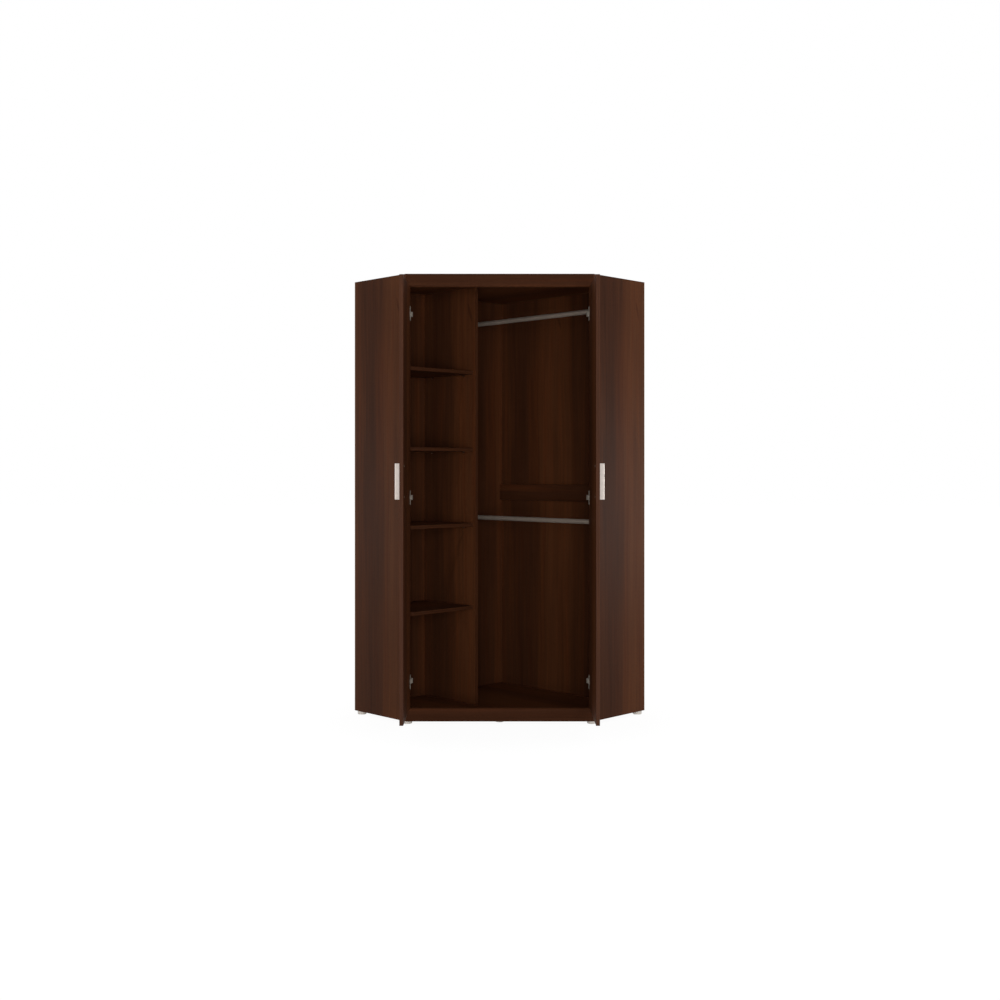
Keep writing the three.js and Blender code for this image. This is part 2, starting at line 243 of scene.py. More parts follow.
# Place across one repeat of the print, 0 to 1, and how warm and light the wood is there.
PRINT_BANDS = [
    (0.0, 0.66), (0.07, 0.48), (0.14, 0.4), (0.26, 0.2),
    (0.42, 0.24), (0.54, 0.38), (0.61, 0.7), (0.74, 0.78),
]
# Tone, from dark to pale, and the colour of the wood at that tone.
WOOD_TONES = [
    (0.0, (0.034, 0.0117, 0.0052)), (0.3, (0.043, 0.0153, 0.0070)),
    (0.55, (0.057, 0.0190, 0.0077)), (1.0, (0.082, 0.0286, 0.0110)),
]
PORE_COLOUR = (0.018, 0.0060, 0.0028)
RED_TINT = (1.14, 0.97, 0.86)

# Each noise: its size across the grain and along it, its detail, its roughness, its pull on the tone.
TONE_NOISE = {
    "bands": ((0.05, 1.6), 1.5, 0.5, 0.6),
    "ribbons": ((0.018, 0.9), 1.5, 0.5, 0.4),
    "patches": ((0.16, 0.5), 1.0, 0.5, 0.45),
    "streaks": ((0.011, 0.55), 3.0, 0.6, 0.85),
    "fibres": ((0.0022, 0.16), 2.0, 0.65, 0.5),
}
# A slow noise makes the bands wander sideways. Pores and red veins fade in between two limits of theirs.
WANDER_SIZE = (0.3, 0.7)
WANDER_REACH = 0.035
PORE_SIZE = (0.0011, 0.02)
PORE_LIMITS = (0.62, 0.74)
PORE_SHARE = 0.4
RED_SIZE = (0.0187, 0.9)
RED_LIMITS = (0.42, 0.72)
RED_SHARE = 0.7
PRINT_DEPTH = 0.0002
PRINT_BUMP = 0.12
FIBRE_RELIEF = 0.35
FIBRE_MATT = 0.12
PORE_MATT = 0.1

# The eye is a small dark swirl, once in each repeat. Its two limits are squares of the distance.
EYE_PLACE = 0.85
EYE_HEIGHT = 1.866
EYE_HALF_WIDTH = 0.008
EYE_HALF_LENGTH = 0.045
EYE_LEAN = 0.25
EYE_RAGGED = 1.2
EYE_LIMITS = (0.1, 1.3)
EYE_PULL = 0.4
print("one repeat of the print:", REPEAT, "m, with", len(TONE_NOISE), "kinds of noise in its tone")

# %% Noise along the grain
# Noise runs from 0 to 1 about this middle.
NOISE_MIDDLE = 0.5


def stretched_noise(start, uv, size, detail=2.0, roughness=0.5):
    """Noise whose features have about this size, across the grain and along it."""
    width, length = size
    scale = (1 / width, 1 / length, 1)
    scaled = start.make("ShaderNodeVectorMath", settings={"operation": "MULTIPLY"}, i0=uv, i1=scale)
    return start.make("ShaderNodeTexNoise", Vector=scaled, Scale=1.0, Detail=detail, Roughness=roughness)


def board_place(start):
    """Where a point lies on its board, in metres."""
    return start.make("ShaderNodeUVMap", settings={"uv_map": BOARD_MAP})


def eye_mask(across, along, ragged):
    """1 in the eye of the print and 0 away from it."""
    rise = along - EYE_HEIGHT
    sideways = ((across - EYE_PLACE) * REPEAT + rise * EYE_LEAN) / EYE_HALF_WIDTH
    lengthways = rise / EYE_HALF_LENGTH
    return 1 - (sideways * sideways + lengthways * lengthways + ragged * EYE_RAGGED).band(*EYE_LIMITS)


print("the eye of the print lies", EYE_HEIGHT, "m along it")


# %% Laminates
def laminate(name, specular, roughness=0.42, lift=0.0):
    """lift shifts the print's tone, and lowers it when below 0. On the inside of the top and bottom and on
    the right wall it is painted light, which makes those faces paler.
    """
    material, shader, start = new_material(name)
    uv = board_place(start)
    wander = stretched_noise(start, uv, WANDER_SIZE, detail=1.5) - NOISE_MIDDLE
    offset = start.make("ShaderNodeCombineXYZ", X=wander * WANDER_REACH, Y=0.0, Z=0.0)
    bent = start.make("ShaderNodeVectorMath", settings={"operation": "ADD"}, i0=uv, i1=offset)
    parts = start.node("ShaderNodeSeparateXYZ", Vector=bent)
    across = (Socket(start.tree, parts.outputs[0]) / REPEAT).math("FRACT")
    along = Socket(start.tree, parts.outputs[1])

    shades = [(place, (shade, shade, shade)) for place, shade in PRINT_BANDS]
    tone = start.make("ShaderNodeValToRGB", settings={"stops": shades}, Fac=across) + lift
    swing = {}
    for feature, (size, detail, rough, pull) in TONE_NOISE.items():
        swing[feature] = stretched_noise(start, bent, size, detail, rough) - NOISE_MIDDLE
        tone = tone + swing[feature] * pull
    tone = tone - eye_mask(across, along, swing["streaks"]) * EYE_PULL
    pores = stretched_noise(start, bent, PORE_SIZE, detail=1.0).band(*PORE_LIMITS)
    reddish = stretched_noise(start, bent, RED_SIZE, detail=2.0).band(*RED_LIMITS)

    colour = start.make("ShaderNodeValToRGB", settings={"stops": WOOD_TONES}, Fac=tone)
    colour = mix(start, colour, RED_TINT, reddish * RED_SHARE, blend="MULTIPLY")
    colour = mix(start, colour, PORE_COLOUR, pores * PORE_SHARE)
    matt = swing["fibres"] * FIBRE_MATT + pores * PORE_MATT + roughness
    normal = bump(start, PRINT_BUMP, PRINT_DEPTH, swing["fibres"] * FIBRE_RELIEF - pores)
    feed(shader, Base_Color=colour, Roughness=matt, Specular_IOR_Level=specular, Normal=normal)
    return material


outer_laminate = laminate("laminate_outer", specular=0.034, lift=0.05)
inner_laminate = laminate("laminate_inner", specular=0.025, roughness=0.5)
# The right wall's foil is printed a little paler: painted light, so that it looks as evenly lit as the rest.
wall_laminate_painted_light = laminate("laminate_wall_painted_light", specular=0.025, roughness=0.5, lift=0.06)
# The inside of the top and bottom is printed much paler: painted light on these dim faces.
level_laminate_painted_light = laminate("laminate_level_painted_light", specular=0.03, roughness=0.5, lift=0.4)
rail_laminate = laminate("laminate_rail", specular=0.03, roughness=0.5, lift=-0.25)
print("nodes in one laminate:", len(outer_laminate.node_tree.nodes))

# %% [markdown]
# ## Edge tape and hardboard
# Sawn edges are closed with a plastic tape that is printed to match. Its print is plainer than the foil
# and it shines a little more, so an open door shows a paler line where its edge faces the light. The
# tape on the shelves is darker. The tape on the rails is dull and printed paler: a painted highlight for
# the light that their rounded edges catch. It could be a strip of its own, but it is no thicker than the
# edge's rounding, so a material on the edge faces is enough. The back sheets carry the foil on the inside
# only: their wall side is raw hardboard, mottled and matt.

# %% Edge tape
TAPE_DARK = (0.038, 0.0130, 0.0058)
TAPE_PALE = (0.055, 0.0188, 0.0078)
TAPE_FIBRE = (0.030, 0.0100, 0.0045)
TAPE_STREAK_SIZE = (0.006, 0.4)
TAPE_STREAK_LIMITS = (0.3, 0.7)
TAPE_STREAK_MATT = 0.1
TAPE_FIBRE_SIZE = (0.0015, 0.1)
TAPE_FIBRE_LIMITS = (0.55, 0.8)
TAPE_FIBRE_SHARE = 0.4
TAPE_ROUGHNESS = 0.4
TAPE_BUMP = 0.08


def edge_tape(name, shade=1.0, gloss=0.13):
    material, shader, start = new_material(name)
    uv = board_place(start)
    streaks = stretched_noise(start, uv, TAPE_STREAK_SIZE, detail=3.0)
    fibres = stretched_noise(start, uv, TAPE_FIBRE_SIZE, detail=2.0)
    dark, pale = darker(TAPE_DARK, shade), darker(TAPE_PALE, shade)
    colour = mix(start, dark, pale, streaks.band(*TAPE_STREAK_LIMITS))
    colour = mix(start, colour, TAPE_FIBRE, fibres.band(*TAPE_FIBRE_LIMITS) * TAPE_FIBRE_SHARE)
    matt = (streaks - NOISE_MIDDLE) * TAPE_STREAK_MATT + TAPE_ROUGHNESS
    normal = bump(start, TAPE_BUMP, PRINT_DEPTH, fibres)
    feed(shader, Base_Color=colour, Roughness=matt, Specular_IOR_Level=gloss, Normal=normal)
    return material


tape = edge_tape("edge_tape")
shelf_tape = edge_tape("shelf_edge_tape", shade=0.82, gloss=0.1)
# The rails' tape is printed paler: a painted highlight on their rounded edges.
rail_tape_painted_highlight = edge_tape("rail_edge_tape_painted_highlight", shade=1.45, gloss=0.04)
print("tapes:", tape.name, shelf_tape.name, rail_tape_painted_highlight.name)

# %% Raw hardboard
HARDBOARD_DARK = (0.205, 0.110, 0.053)
HARDBOARD_PALE = (0.245, 0.138, 0.070)
MOTTLE_LIMITS = (0.3, 0.7)
CLUMP_COLOUR = (0.150, 0.080, 0.038)
CLUMP_LIMITS = (0.5, 0.7)
CLUMP_SHARE = 0.5
RAW_FIBRE_COLOUR = (0.10, 0.052, 0.025)
RAW_FIBRE_LIMITS = (0.55, 0.75)
RAW_FIBRE_SHARE = 0.55
RAW_FIBRE_MATT = 0.15
HARDBOARD_ROUGHNESS = 0.72
HARDBOARD_BUMP = 0.25


def even_noise(start, scale, detail, roughness=0.5):
    """Noise in the piece's own space, for finishes without a grain."""
    place = start.make("ShaderNodeTexCoord", out="Object")
    return start.make("ShaderNodeTexNoise", Vector=place, Scale=scale, Detail=detail, Roughness=roughness)


def raw_hardboard(name):
    material, shader, start = new_material(name)
    mottle = even_noise(start, scale=5.0, detail=5.0, roughness=0.65)
    clumps = even_noise(start, scale=90.0, detail=3.0, roughness=0.7)
    fibres = even_noise(start, scale=420.0, detail=3.0, roughness=0.7)
    colour = mix(start, HARDBOARD_DARK, HARDBOARD_PALE, mottle.band(*MOTTLE_LIMITS))
    colour = mix(start, colour, CLUMP_COLOUR, clumps.band(*CLUMP_LIMITS) * CLUMP_SHARE)
    colour = mix(start, colour, RAW_FIBRE_COLOUR, fibres.band(*RAW_FIBRE_LIMITS) * RAW_FIBRE_SHARE)
    matt = (fibres - NOISE_MIDDLE) * RAW_FIBRE_MATT + HARDBOARD_ROUGHNESS
    normal = bump(start, HARDBOARD_BUMP, PRINT_DEPTH, fibres)
    feed(shader, Base_Color=colour, Roughness=matt, Normal=normal)
    return material


hardboard = raw_hardboard("raw_hardboard")
print("back of the sheets:", hardboard.name)

# %% [markdown]
# ## Boards
# A sawn board has a thin plastic band glued on each edge, and the band is rounded a little so that it
# doesn't chip. The CAD boards have sharp edges. Remodelling them would risk their sizes, so each is
# copied, its doubles are merged, and a fine bevel is cut along its edges: just under a millimetre on
# most boards, less on the thin sheets, and more on the cross rail.

# %% Copy, merge and bevel
MERGE_DISTANCE = 0.00002
FLAT_ANGLE = math.radians(0.5)
CREASE_ANGLE = math.radians(35)
BEVEL_ANGLE = math.radians(40)
EDGE_ROUND = 0.0009


def merged_copy(node, name):
    """A copy of a node's mesh with its doubles merged and its flat faces joined, on no body yet."""
    mesh = nodes[node].data.copy()
    mesh.materials.clear()
    shape = bmesh.new()
    shape.from_mesh(mesh)
    bmesh.ops.remove_doubles(shape, verts=shape.verts, dist=MERGE_DISTANCE)
    bmesh.ops.dissolve_limit(
        shape, angle_limit=FLAT_ANGLE, verts=shape.verts, edges=shape.edges, delimit={"NORMAL"}
    )
    shape.to_mesh(mesh)
    shape.free()
    mesh.name = name
    mesh.shade_smooth()
    mesh.set_sharp_from_angle(angle=CREASE_ANGLE)
    return put_in_scene(name, mesh)


def apply_modifiers(piece):
    """Turns a piece with live modifiers into a plain mesh."""
    graph = bpy.context.evaluated_depsgraph_get()
    done = bpy.data.meshes.new_from_object(piece.evaluated_get(graph))
    piece.modifiers.clear()
    old = piece.data
    piece.data = done
    bpy.data.meshes.remove(old)
    done.name = piece.name


def round_edges(piece, width, segments=2):
    bevel = piece.modifiers.new("edge", "BEVEL")
    bevel.width = width
    bevel.segments = segments
    bevel.limit_method = "ANGLE"
    bevel.angle_limit = BEVEL_ANGLE
    bevel.harden_normals = True
    apply_modifiers(piece)


print("board edges are rounded by", EDGE_ROUND * 1000, "mm")

# %% [markdown]
# Blender could unwrap the boards, but it would lay their faces out at turns and scales of its own. So the
# map is written face by face after the bevel. A surface takes its place straight from the board's own
# two directions. An edge lies across one of them, so there the depth through the board is added, and
# the print runs on round the corner instead of smearing.

# %% Directions and the print's map
ALONG_RIGHT = Vector((1, -1, 0)).normalized()
ALONG_LEFT = Vector((-1, -1, 0)).normalized()
ALONG_FRONT = Vector((1, 0, 0))
INTO_CASE = Vector((0, 1, 0))
UP = Vector((0, 0, 1))
# How much of a face's normal lies along a direction before the face counts as turned that way.
TURNED_TO = 0.5


def write_board_uv(piece, grain, across, start_at, repeat):
    """u is where the face lies across the print, v along it, both in metres; start_at is where u is 0."""
    mesh = piece.data
    for layer in list(mesh.uv_layers):
        mesh.uv_layers.remove(layer)
    layer = mesh.uv_layers.new(name=BOARD_MAP)
    thick = grain.cross(across).normalized()
    middle = sum(v.co.dot(thick) for v in mesh.vertices) / len(mesh.vertices)
    for face in mesh.polygons:
        is_surface = abs(face.normal.dot(thick)) > TURNED_TO
        is_end = abs(face.normal.dot(grain)) > TURNED_TO
        for corner in face.loop_indices:
            place = mesh.vertices[mesh.loops[corner].vertex_index].co
            depth = place.dot(thick) - middle
            u = place.dot(across) - start_at + (0 if is_surface else depth)
            v = place.dot(grain) + (depth if is_end else 0)
            layer.data[corner].uv = (u * REPEAT / repeat, v)


print("the right wall runs along", [round(part, 3) for part in ALONG_RIGHT])

# %% From a board in the case to a dressed one
SURFACE_TURNED_TO = 0.8
boards_made = []


def finish_faces(piece, thick, outside, inside, edge):
    """outside is for surfaces that look away from the middle of the case, inside for the others."""
    mesh = piece.data
    mesh.materials.clear()
    for material in (outside, inside, edge):
        mesh.materials.append(material)
    middle = (case_box[0] + case_box[1]) / 2
    for face in mesh.polygons:
        if abs(face.normal.dot(thick)) < SURFACE_TURNED_TO:
            face.material_index = 2
        else:
            face.material_index = 0 if face.normal.dot(face.center - middle) > 0 else 1


def dress(piece, node, body):
    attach(piece, body)
    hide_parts(node)


def dress_board(node, body, grain, across, faces, start_at, repeat=REPEAT, width=EDGE_ROUND):
    """faces are the materials of its outside, its inside and its edges."""
    piece = merged_copy(node, node + "_board")
    round_edges(piece, width)
    write_board_uv(piece, grain, across, start_at, repeat)
    finish_faces(piece, grain.cross(across).normalized(), *faces)
    boards_made.append(piece.name)
    dress(piece, node, body)


print("boards so far:", len(boards_made))

# %% [markdown]
# ## The case
# The sides, the divider and the back sheets are cut so that the print's greyer band comes first and then
# a warmer one, as the photograph shows. Its repeat is a little wider inside than on the sides. On the
# divider the repeat and the start are set so that the darker band lies at its rear end, in the corner:
# painted shade. The top and the bottom have their grain along the right wall, and the shelves along the
# left wall. A start that skips some whole repeats leaves a board's bands in place and gives it streaks
# of its own.

# %% Sides, divider, top and bottom
WIDE_REPEAT = 0.474
RIGHT_WALL_REPEAT = 0.49
# The divider's repeat and start put the dark band at its rear end, in the corner: painted shade.
DIVIDER_REPEAT = 0.427
DIVIDER_START = -0.0355
DIVIDER_SKIP = 10
SIDE_DEPTH = 0.362
LEVEL_BAND_START = 0.063
BACK_CORNER = Vector((0, case_box[1].y, 0))
TAPED = (outer_laminate, inner_laminate, tape)
INSIDE = (inner_laminate, inner_laminate, tape)
LEVEL = (outer_laminate, level_laminate_painted_light, tape)


def from_corner(direction, distance):
    """How far along direction the point lies that is this distance out from the back corner."""
    return BACK_CORNER.dot(direction) + distance


wall_start = from_corner(ALONG_RIGHT, 0)
side_start = -from_corner(ALONG_LEFT, SIDE_DEPTH)
divider_start = wall_start + DIVIDER_START - DIVIDER_SKIP * DIVIDER_REPEAT
upright_boards = [
    ("left_side_panel", "laminate", ALONG_RIGHT, TAPED, wall_start, REPEAT),
    ("right_side_panel", "laminate", -ALONG_LEFT, TAPED, side_start, REPEAT),
    ("divider", "laminate_inside", ALONG_RIGHT, INSIDE, divider_start, DIVIDER_REPEAT),
]
for node, slot, across, faces, start_at, repeat in upright_boards:
    dress_board(node, "case", UP, across, faces, start_at, repeat)
# Their inside faces carry the paler foil: painted light.
level_start = from_corner(ALONG_LEFT, LEVEL_BAND_START)
for node in ("top_panel", "bottom_panel"):
    dress_board(node, "case", ALONG_RIGHT, ALONG_LEFT, LEVEL, level_start)
print("boards so far:", len(boards_made))

# %% [markdown]
# The cross rail stiffens the back behind the hanging space, and the board on the left wall carries the
# hanging rails, so both are full boards. On the two front rails the print starts at a height of its own,
# because each of them shows another of its bands: each is paler along the edge by the opening and darker
# away from it, which is painted light and shade.

# %% Cross rail, support board, shelves and front rails
CROSS_ROUND = 0.0025
CROSS_BAND_START = 0.04
BAY_BAND_START = 0.68
SHELF_BAND_START = 0.1
SHELF_SKIP = 5
SHELF_COUNT = 4
SHELF = (inner_laminate, inner_laminate, shelf_tape)
FRONT_RAIL = (rail_laminate, rail_laminate, rail_tape_painted_highlight)

cross_start = -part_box("back_cross_rail")[1].z - CROSS_BAND_START
dress_board(
    "back_cross_rail", "case", ALONG_RIGHT, -UP, INSIDE, cross_start, width=CROSS_ROUND
)
bay_start = -from_corner(ALONG_LEFT, BAY_BAND_START * WIDE_REPEAT)
dress_board(
    "rail_support_board", "case", UP, -ALONG_LEFT, INSIDE, bay_start, WIDE_REPEAT
)
for index in range(1, SHELF_COUNT + 1):
    start_at = index * SHELF_SKIP * REPEAT + SHELF_BAND_START
    dress_board(f"shelf_{index}", "case", ALONG_LEFT, ALONG_RIGHT, SHELF, start_at)
# Each rail's start puts the paler band by the opening and the darker one away from it: painted light and
# shade.
for node, repeats_below in (("top_rail", 2.0), ("bottom_rail", 3.44)):
    start_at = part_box(node)[0].z - repeats_below * REPEAT
    dress_board(node, "case", ALONG_FRONT, UP, FRONT_RAIL, start_at)
print("boards so far:", len(boards_made))

# %% [markdown]
# The doors are dressed as they stand at rest, open at a right angle, and ride on their own bodies. The
# back sheets are 3 mm hardboard, too thin for tape, with only a trace of rounding on their edges. The
# foil on the two right ones is printed a shade paler than the rest of the inside: painted light, so that
# the right wall looks as evenly lit as the rest.

# %% Doors and back sheets
DOOR_SKIP = 4
SHEET_ROUND = 0.0002
LEFT_SHEET = (hardboard, inner_laminate, hardboard)
RIGHT_SHEET = (hardboard, wall_laminate_painted_light, hardboard)

for side, across in (("left", INTO_CASE), ("right", -INTO_CASE)):
    low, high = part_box(f"{side}_door")
    start_at = min(low.dot(across), high.dot(across)) - DOOR_SKIP * REPEAT
    dress_board(f"{side}_door", f"{side}_door", UP, across, TAPED, start_at)
back_sheets = [
    ("left_back_panel", -ALONG_LEFT, LEFT_SHEET, bay_start, WIDE_REPEAT),
    ("right_back_panel_lower", ALONG_RIGHT, RIGHT_SHEET, wall_start, RIGHT_WALL_REPEAT),
    ("right_back_panel_upper", ALONG_RIGHT, RIGHT_SHEET, wall_start, RIGHT_WALL_REPEAT),
]
for node, across, faces, start_at, repeat in back_sheets:
    dress_board(node, "case", UP, across, faces, start_at, repeat, width=SHEET_ROUND)
print("boards so far:", len(boards_made))

# %% [markdown]
# ## Metal and plastic
# The handles are satin aluminium, the hinges and sockets nickel plate, the hanging rails plated tube,
# the feet pale grey plastic and the shelf pins brown plastic. A plain colour looks flat, so a soft cloud
# shifts each one a little, and a fine noise breaks up its gloss.

# %% Metal and plastic
SURFACE_DEPTH = 0.0001
CLOUD_LIMITS = (0.3, 0.7)
METAL_SHADE = 0.9
METAL_CLOUD_MATT = 0.1
METAL_FINE_MATT = 0.05
METAL_BUMP = 0.1
PLASTIC_SHADE = 0.92
PLASTIC_FINE_MATT = 0.1
PLASTIC_BUMP = 0.15


def metal(name, colour, roughness, metallic=1.0):
    material, shader, start = new_material(name)
    cloud = even_noise(start, scale=60.0, detail=3.0)
    fine = even_noise(start, scale=900.0, detail=2.0)
    shade = mix(start, darker(colour, METAL_SHADE), colour, cloud.band(*CLOUD_LIMITS))
    matt = roughness + (cloud - NOISE_MIDDLE) * METAL_CLOUD_MATT + (fine - NOISE_MIDDLE) * METAL_FINE_MATT
    normal = bump(start, METAL_BUMP, SURFACE_DEPTH, fine)
    feed(shader, Base_Color=shade, Metallic=metallic, Roughness=matt, Normal=normal)
    return material


def plastic(name, colour, roughness):
    material, shader, start = new_material(name)
    cloud = even_noise(start, scale=40.0, detail=2.0)
    fine = even_noise(start, scale=1500.0, detail=1.0)
    shade = mix(start, darker(colour, PLASTIC_SHADE), colour, cloud)
    matt = roughness + (fine - NOISE_MIDDLE) * PLASTIC_FINE_MATT
    normal = bump(start, PLASTIC_BUMP, SURFACE_DEPTH, fine)
    feed(shader, Base_Color=shade, Roughness=matt, Normal=normal)
    return material


handle_metal = metal("satin_aluminium", linear(214, 203, 195), roughness=0.38)
hinge_metal = metal("nickel_plate", linear(138, 130, 120), roughness=0.42, metallic=0.5)
tube_metal = metal("plated_tube", linear(146, 133, 122), roughness=0.5, metallic=0.4)
screw_metal = metal("zinc_screw", linear(165, 158, 145), roughness=0.35, metallic=0.9)
foot_plastic = plastic("foot_plastic", linear(205, 198, 190), roughness=0.55)
pin_plastic = plastic("pin_plastic", linear(52, 30, 20), roughness=0.5)
print("nodes in one metal:", len(handle_metal.node_tree.nodes))

# %% [markdown]
# ## Fittings
# Handles, hinges, feet and sockets keep their CAD shapes. Cast and moulded parts have no sharp edge, so
# each is copied and its edges are rounded. The shelf pins and the two tubes are round already, so they
# stay as they are and only get their finish.

# %% Handles, hinges, sockets, feet, pins and tubes
SIDES = ("left", "right")
LEVELS = ("upper", "lower")
HINGES = (1, 2, 3)
HANDLE_ROUND = 0.0007
CUP_ROUND = 0.0004
ARM_ROUND = 0.0007
SOCKET_ROUND = 0.0005
FOOT_ROUND = 0.0012


def dress_fitting(node, body, material, width, segments=2):
    piece = merged_copy(node, node + "_dressed")
    round_edges(piece, width, segments)
    piece.data.materials.clear()
    piece.data.materials.append(material)
    dress(piece, node, body)


def finish_node(node, material):
    nodes[node].material_slots[0].material = material


for side in SIDES:
    dress_fitting(f"{side}_handle", f"{side}_door", handle_metal, HANDLE_ROUND)
    for index in HINGES:
        dress_fitting(f"{side}_hinge_cup_{index}", f"{side}_door", hinge_metal, CUP_ROUND)
        dress_fitting(f"{side}_hinge_arm_{index}", "case", hinge_metal, ARM_ROUND)
    for level in LEVELS:
        dress_fitting(f"{level}_rail_socket_{side}", "case", hinge_metal, SOCKET_ROUND)
for node in [name for name in nodes if name.startswith("foot_")]:
    dress_fitting(node, "case", foot_plastic, FOOT_ROUND, segments=3)
for node in [name for name in nodes if "_pin_" in name]:
    finish_node(node, pin_plastic)
for level in LEVELS:
    finish_node(f"{level}_hanging_rail", tube_metal)

# %% [markdown]
# ## Screws
# Two screws hold the flange of a hinge cup in the door, and the hinge's arm carries two more, the
# adjusting ones. A socket has three, and each handle is screwed on through the door from the inside.
# The heads are all alike, so they aren't modelled one by one: one Geometry Nodes tree sets a head on each
# point, turns it to the direction stored there, and gives it a turn of its own, because nobody lines up
# the slots.

# %% What every tree of heads needs
def fastener_group(name, inputs):
    """A new tree, a socket to start from, and its inputs: the places, these numbers and the finish."""
    tree = bpy.data.node_groups.new(name, "GeometryNodeTree")
    tree.is_modifier = True
    tree.interface.new_socket("Places", in_out="INPUT", socket_type="NodeSocketGeometry")
    for label in inputs:
        tree.interface.new_socket(label, in_out="INPUT", socket_type="NodeSocketFloat")
    tree.interface.new_socket("Finish", in_out="INPUT", socket_type="NodeSocketMaterial")
    tree.interface.new_socket("Heads", in_out="OUTPUT", socket_type="NodeSocketGeometry")
    start = Socket(tree, None)
    given = start.node("NodeGroupInput")
    return tree, start, [Socket(tree, out) for out in given.outputs[: len(inputs) + 2]]


def facing_rotation(start):
    """Turns a head's own Z to the direction stored on its point."""
    stored = start.node("GeometryNodeInputNamedAttribute", {"data_type": "FLOAT_VECTOR"}, Name="facing")
    facing = Socket(start.tree, next(out for out in stored.outputs if out.enabled))
    return start.make("FunctionNodeAlignRotationToVector", settings={"axis": "Z"}, Vector=facing)


def head_cone(start, sides, radius, top_share, height):
    """A low cone without its tip, standing on its point."""
    sizes = {"Radius_Top": radius * top_share, "Radius_Bottom": radius, "Depth": height}
    return start.make("GeometryNodeMeshCone", Vertices=sides, **sizes)


def set_heads(start, places, head, rotation, finish):
    heads = start.make("GeometryNodeInstanceOnPoints", Points=places, Instance=head, Rotation=rotation)
    real = start.make("GeometryNodeRealizeInstances", Geometry=heads)
    done = start.make("GeometryNodeSetMaterial", Geometry=real, Material=finish)
    start.node("NodeGroupOutput", Heads=done)


print("helpers for heads are ready")

# %% [markdown]
# The screw head is a low cone. Two crossed bars are cut out of its top, which leaves the recess for the
# screwdriver. Each bar is lifted by the head's whole height, so it reaches half of that deep.

# %% Screw head tree
SCREW_SIDES = 20
SCREW_TOP = 0.78
SLOT_REACH = 1.2
SPIN_SEED = 7


def screw_tree():
    tree, start, (places, radius, height, slot_width, finish) = fastener_group(
        "screw_heads", ("Head Radius", "Head Height", "Slot Width")
    )
    cone = head_cone(start, SCREW_SIDES, radius, SCREW_TOP, height)
    arms = []
    for wide, deep in ((radius * SLOT_REACH, slot_width), (slot_width, radius * SLOT_REACH)):
        size = start.make("ShaderNodeCombineXYZ", X=wide, Y=deep, Z=height)
        bar = start.make("GeometryNodeMeshCube", Size=size)
        lift = start.make("ShaderNodeCombineXYZ", X=0.0, Y=0.0, Z=height)
        arms.append(start.make("GeometryNodeTransform", Geometry=bar, Translation=lift))
    cross = start.make("GeometryNodeMeshBoolean", settings={"operation": "UNION"}, Mesh_2=arms)
    settings = {"operation": "DIFFERENCE"}
    head = start.make("GeometryNodeMeshBoolean", settings=settings, Mesh_1=cone, Mesh_2=cross)
    settings = {"data_type": "FLOAT"}
    spin = start.make("FunctionNodeRandomValue", out=1, settings=settings, i2=0.0, i3=math.pi, i8=SPIN_SEED)
    turn = start.make("FunctionNodeAxisAngleToRotation", Axis=(0, 0, 1), Angle=spin)
    settings = {"rotation_space": "LOCAL"}
    rotation = start.make("FunctionNodeRotateRotation", settings=settings, i0=facing_rotation(start), i1=turn)
    set_heads(start, places, head, rotation, finish)
    return tree


screws = screw_tree()
print("nodes in the screw tree:", len(screws.nodes))

# %% [markdown]
# A mesh of bare points holds the places, with the direction of each head in an attribute. The modifier's
# inputs are set by their identifiers, and its result becomes a plain mesh, one for each body, because
# a part library keeps no live modifier.

# %% From places to heads
def place_mesh(name, places, rows=False):
    """A mesh of points, each with the direction that its head faces; rows joins them in pairs by an edge."""
    mesh = bpy.data.meshes.new(name)
    pairs = [(i, i + 1) for i in range(0, len(places), 2)] if rows else []
    mesh.from_pydata([place for place, facing in places], pairs, [])
    stored = mesh.attributes.new("facing", "FLOAT_VECTOR", "POINT")
    stored.data.foreach_set("vector", [value for place, facing in places for value in facing])
    return put_in_scene(name, mesh)


def grow_heads(name, places, tree, values, body, rows=False):
    piece = place_mesh(name, places, rows)
    modifier = piece.modifiers.new("heads", "NODES")
    modifier.node_group = tree
    for item in tree.interface.items_tree:
        if item.name in values:
            modifier[item.identifier] = values[item.name]
    apply_modifiers(piece)
    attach(piece, body)
    print(name, len(piece.data.polygons), "faces")


print("what a screw tree takes:", [item.name for item in screws.interface.items_tree])

# %% [markdown]
# Every place is worked out from the nodes themselves: a screw lies on the face that it holds, at its
# usual distance from the middle or the end of its fitting. A changed size in the case then moves the
# screws with it.

# %% Measuring the case
def reach(node, direction):
    """How far a node reaches along a direction."""
    return max(vertex.co.dot(direction) for vertex in nodes[node].data.vertices)


def middle(node, direction):
    """Where a node's middle lies along a direction."""
    return (reach(node, direction) - reach(node, -direction)) / 2


def at(*parts):
    """The point at these distances along these directions, which stand square to each other."""
    return sum((direction * distance for direction, distance in parts), Vector())


print("middle of the divider:", round(middle("divider", ALONG_LEFT), 4), "m along the left wall")

# %% Places on hinges and handles
CUP_RADIUS = 0.0175
FLANGE_RISE = 0.0023
FLANGE_SCREW = 0.024
ARM_BACK_SCREW = 0.034
ARM_FRONT_SCREW = 0.014
HANDLE_HOLE_SPACING = 0.128
door_places = {"left": [], "right": []}
case_places = []
walls = {"left": (ALONG_LEFT, ALONG_RIGHT), "right": (ALONG_RIGHT, ALONG_LEFT)}
inwards = {"left": ALONG_FRONT, "right": -ALONG_FRONT}


